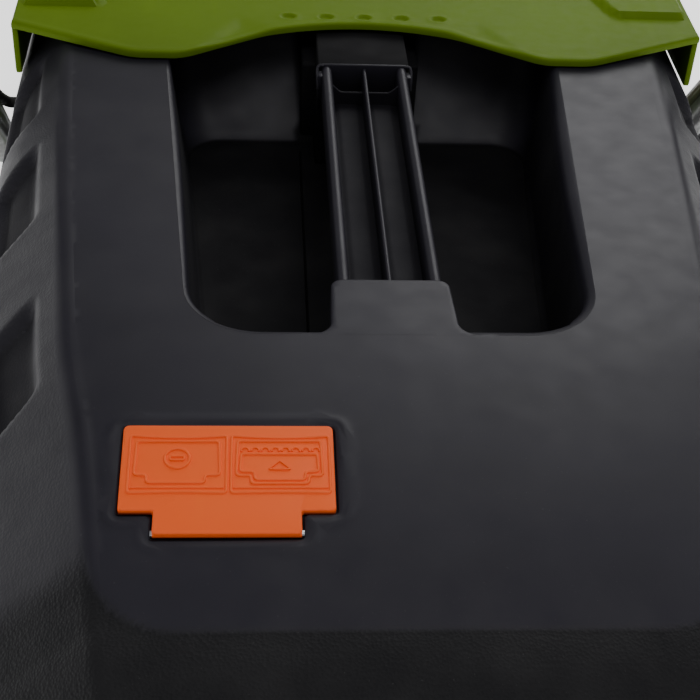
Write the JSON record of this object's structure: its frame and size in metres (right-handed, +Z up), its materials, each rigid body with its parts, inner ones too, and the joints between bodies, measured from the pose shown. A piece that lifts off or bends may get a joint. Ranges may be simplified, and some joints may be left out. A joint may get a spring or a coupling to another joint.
{
  "type": "push lawn mower",
  "caption": "Walk-behind electric rotary mower: green deck and rear flap, charcoal grass collector with carry handle and orange fill flap, folding tube handle",
  "frame": {"origin": "on the ground, under the middle of the machine's bounding box", "axes": "+Z up, +Y forward (away from the operator), +X to the operator's right"},
  "size_m": [0.49, 1.1843, 1.019],
  "materials": {
    "deck_green": "moulded green plastic, slight gloss",
    "chute_black": "moulded black plastic, fine grain",
    "hood_charcoal": "moulded charcoal plastic, satin",
    "collector_charcoal": "moulded charcoal plastic, satin panel, grained rear",
    "tub_black": "moulded black plastic, coarse grain",
    "flap_green": "moulded green plastic, satin",
    "indicator_orange": "orange plastic",
    "accent_orange": "orange plastic",
    "zinc_steel": "zinc-plated steel",
    "motor_steel": "bare motor laminations and castings",
    "bearing_steel": "ground steel",
    "blade_steel": "hardened steel, dark",
    "tube_black": "powder-coated steel tube",
    "wheel_plastic": "moulded wheel plastic",
    "tyre_rubber": "ribbed rubber",
    "foam_black": "closed-cell foam",
    "lead_black": "rubber sheath",
    "capacitor_white": "capacitor can"
  },
  "bodies": {
    "deck": {"deck_shell": "deck_green", "discharge_chute": "chute_black", "motor_hood": "hood_charcoal", "hood_vent": "deck_green", "hood_screws": "zinc_steel", "motor_mount": "zinc_steel", "motor_stator": "motor_steel", "motor_end_bells": "motor_steel", "shaft_bearings": "bearing_steel", "motor_capacitor": "capacitor_white", "axle_saddles": "chute_black", "height_quadrant": "chute_black", "handle_bracket_left": "zinc_steel", "handle_bracket_right": "zinc_steel", "flap_hinge_pin": "zinc_steel", "flap_spring": "zinc_steel", "motor_lead_deck": "lead_black"},
    "blade_rotor": {"rotor_shaft": "bearing_steel", "rotor_core": "motor_steel", "cooling_fan": "chute_black", "blade_hub": "motor_steel", "blade": "blade_steel", "blade_bolt": "zinc_steel"},
    "rear_axle": {"rear_axle": "zinc_steel", "rear_axle_clips": "zinc_steel", "height_lever": "chute_black", "height_knob": "accent_orange"},
    "front_axle": {"front_axle": "zinc_steel", "front_axle_clips": "zinc_steel"},
    "link": {"link_rod": "zinc_steel"},
    "rear_left_wheel": {"wheel_rear_left": "wheel_plastic", "tyre_rear_left": "tyre_rubber"},
    "rear_right_wheel": {"wheel_rear_right": "wheel_plastic", "tyre_rear_right": "tyre_rubber"},
    "front_left_wheel": {"wheel_front_left": "wheel_plastic", "tyre_front_left": "tyre_rubber"},
    "front_right_wheel": {"wheel_front_right": "wheel_plastic", "tyre_front_right": "tyre_rubber"},
    "rear_flap": {"rear_flap": "flap_green", "flap_screws": "zinc_steel"},
    "collector": {"collector_top": "collector_charcoal", "collector_tub": "tub_black", "collector_mouth": "chute_black", "collector_clips": "chute_black", "carry_handle": "collector_charcoal", "indicator_pins": "zinc_steel"},
    "indicator": {"fill_indicator": "indicator_orange"},
    "lower_handle": {"lower_handle": "tube_black", "motor_lead_lower": "lead_black"},
    "lower_knobs": {"lower_knobs": "chute_black"},
    "upper_handle": {"upper_handle": "tube_black", "foam_grip": "foam_black", "switch_box": "hood_charcoal", "switch_box_base": "chute_black", "power_inlet": "chute_black", "cable_hook": "chute_black", "motor_lead_upper": "lead_black"},
    "upper_knobs": {"upper_knobs": "chute_black"},
    "bail": {"bail_lever": "accent_orange"},
    "safety_button": {"safety_button": "accent_orange"}
  },
  "joints": [
    {"name": "blade_spin", "type": "hinge", "parent": "deck", "child": "blade_rotor", "pos_m": [0, 0.32115, 0.1], "axis": [0, 0, 1], "continuous": true},
    {"name": "height_adjust", "type": "hinge", "parent": "deck", "child": "rear_axle", "pos_m": [0, 0.11115, 0.068], "axis": [1, 0, 0], "range_deg": [0, 43]},
    {"name": "front_height", "type": "hinge", "parent": "deck", "child": "front_axle", "pos_m": [0, 0.56615, 0.053], "axis": [1, 0, 0], "range_deg": [0, 43]},
    {"name": "link_swing", "type": "hinge", "parent": "rear_axle", "child": "link", "pos_m": [-0.186, 0.12801, 0.10972], "axis": [1, 0, 0], "range_deg": [-43, 0]},
    {"name": "rear_left_roll", "type": "hinge", "parent": "rear_axle", "child": "rear_left_wheel", "pos_m": [-0.218, 0.05615, 0.09], "axis": [1, 0, 0], "continuous": true},
    {"name": "rear_right_roll", "type": "hinge", "parent": "rear_axle", "child": "rear_right_wheel", "pos_m": [0.218, 0.05615, 0.09], "axis": [1, 0, 0], "continuous": true},
    {"name": "front_left_roll", "type": "hinge", "parent": "front_axle", "child": "front_left_wheel", "pos_m": [-0.218, 0.51115, 0.075], "axis": [1, 0, 0], "continuous": true},
    {"name": "front_right_roll", "type": "hinge", "parent": "front_axle", "child": "front_right_wheel", "pos_m": [0.218, 0.51115, 0.075], "axis": [1, 0, 0], "continuous": true},
    {"name": "flap_lift", "type": "hinge", "parent": "deck", "child": "rear_flap", "pos_m": [0, 0.15815, 0.36], "axis": [-1, 0, 0], "range_deg": [0, 75], "stiffness_Nm_per_rad": 0.2, "springref_deg": -22.92},
    {"name": "collector_out", "type": "slide", "parent": "deck", "child": "collector", "axis": [0, -1, 0], "range_m": [0, 0.45]},
    {"name": "indicator_lift", "type": "hinge", "parent": "collector", "child": "indicator", "pos_m": [0, -0.37963, 0.35269], "axis": [1, 0, 0], "range_deg": [0, 30]},
    {"name": "lower_fold", "type": "hinge", "parent": "deck", "child": "lower_handle", "pos_m": [0, 0.10615, 0.212], "axis": [-1, 0, 0], "range_deg": [0, 121]},
    {"name": "lower_knob_turn", "type": "hinge", "parent": "lower_handle", "child": "lower_knobs", "pos_m": [0, 0.10615, 0.212], "axis": [1, 0, 0], "continuous": true},
    {"name": "upper_fold", "type": "hinge", "parent": "lower_handle", "child": "upper_handle", "pos_m": [0, -0.17596, 0.53653], "axis": [1, 0, 0], "range_deg": [0, 80]},
    {"name": "upper_knob_turn", "type": "hinge", "parent": "lower_handle", "child": "upper_knobs", "pos_m": [0, -0.17596, 0.53653], "axis": [1, 0, 0], "continuous": true},
    {"name": "bail_pull", "type": "hinge", "parent": "upper_handle", "child": "bail", "pos_m": [0, -0.49874, 0.90784], "axis": [1, 0, 0], "range_deg": [0, 21], "stiffness_Nm_per_rad": 1, "springref_deg": -28.65},
    {"name": "button_press", "type": "slide", "parent": "upper_handle", "child": "safety_button", "axis": [0, -0.7547, -0.6561], "range_m": [0, 0.006], "stiffness_N_per_m": 300, "springref_m": -0.002}
  ],
  "couplings": [
    {"joint": "front_height", "follows": "height_adjust", "ratio": 1},
    {"joint": "link_swing", "follows": "height_adjust", "ratio": -1}
  ]
}
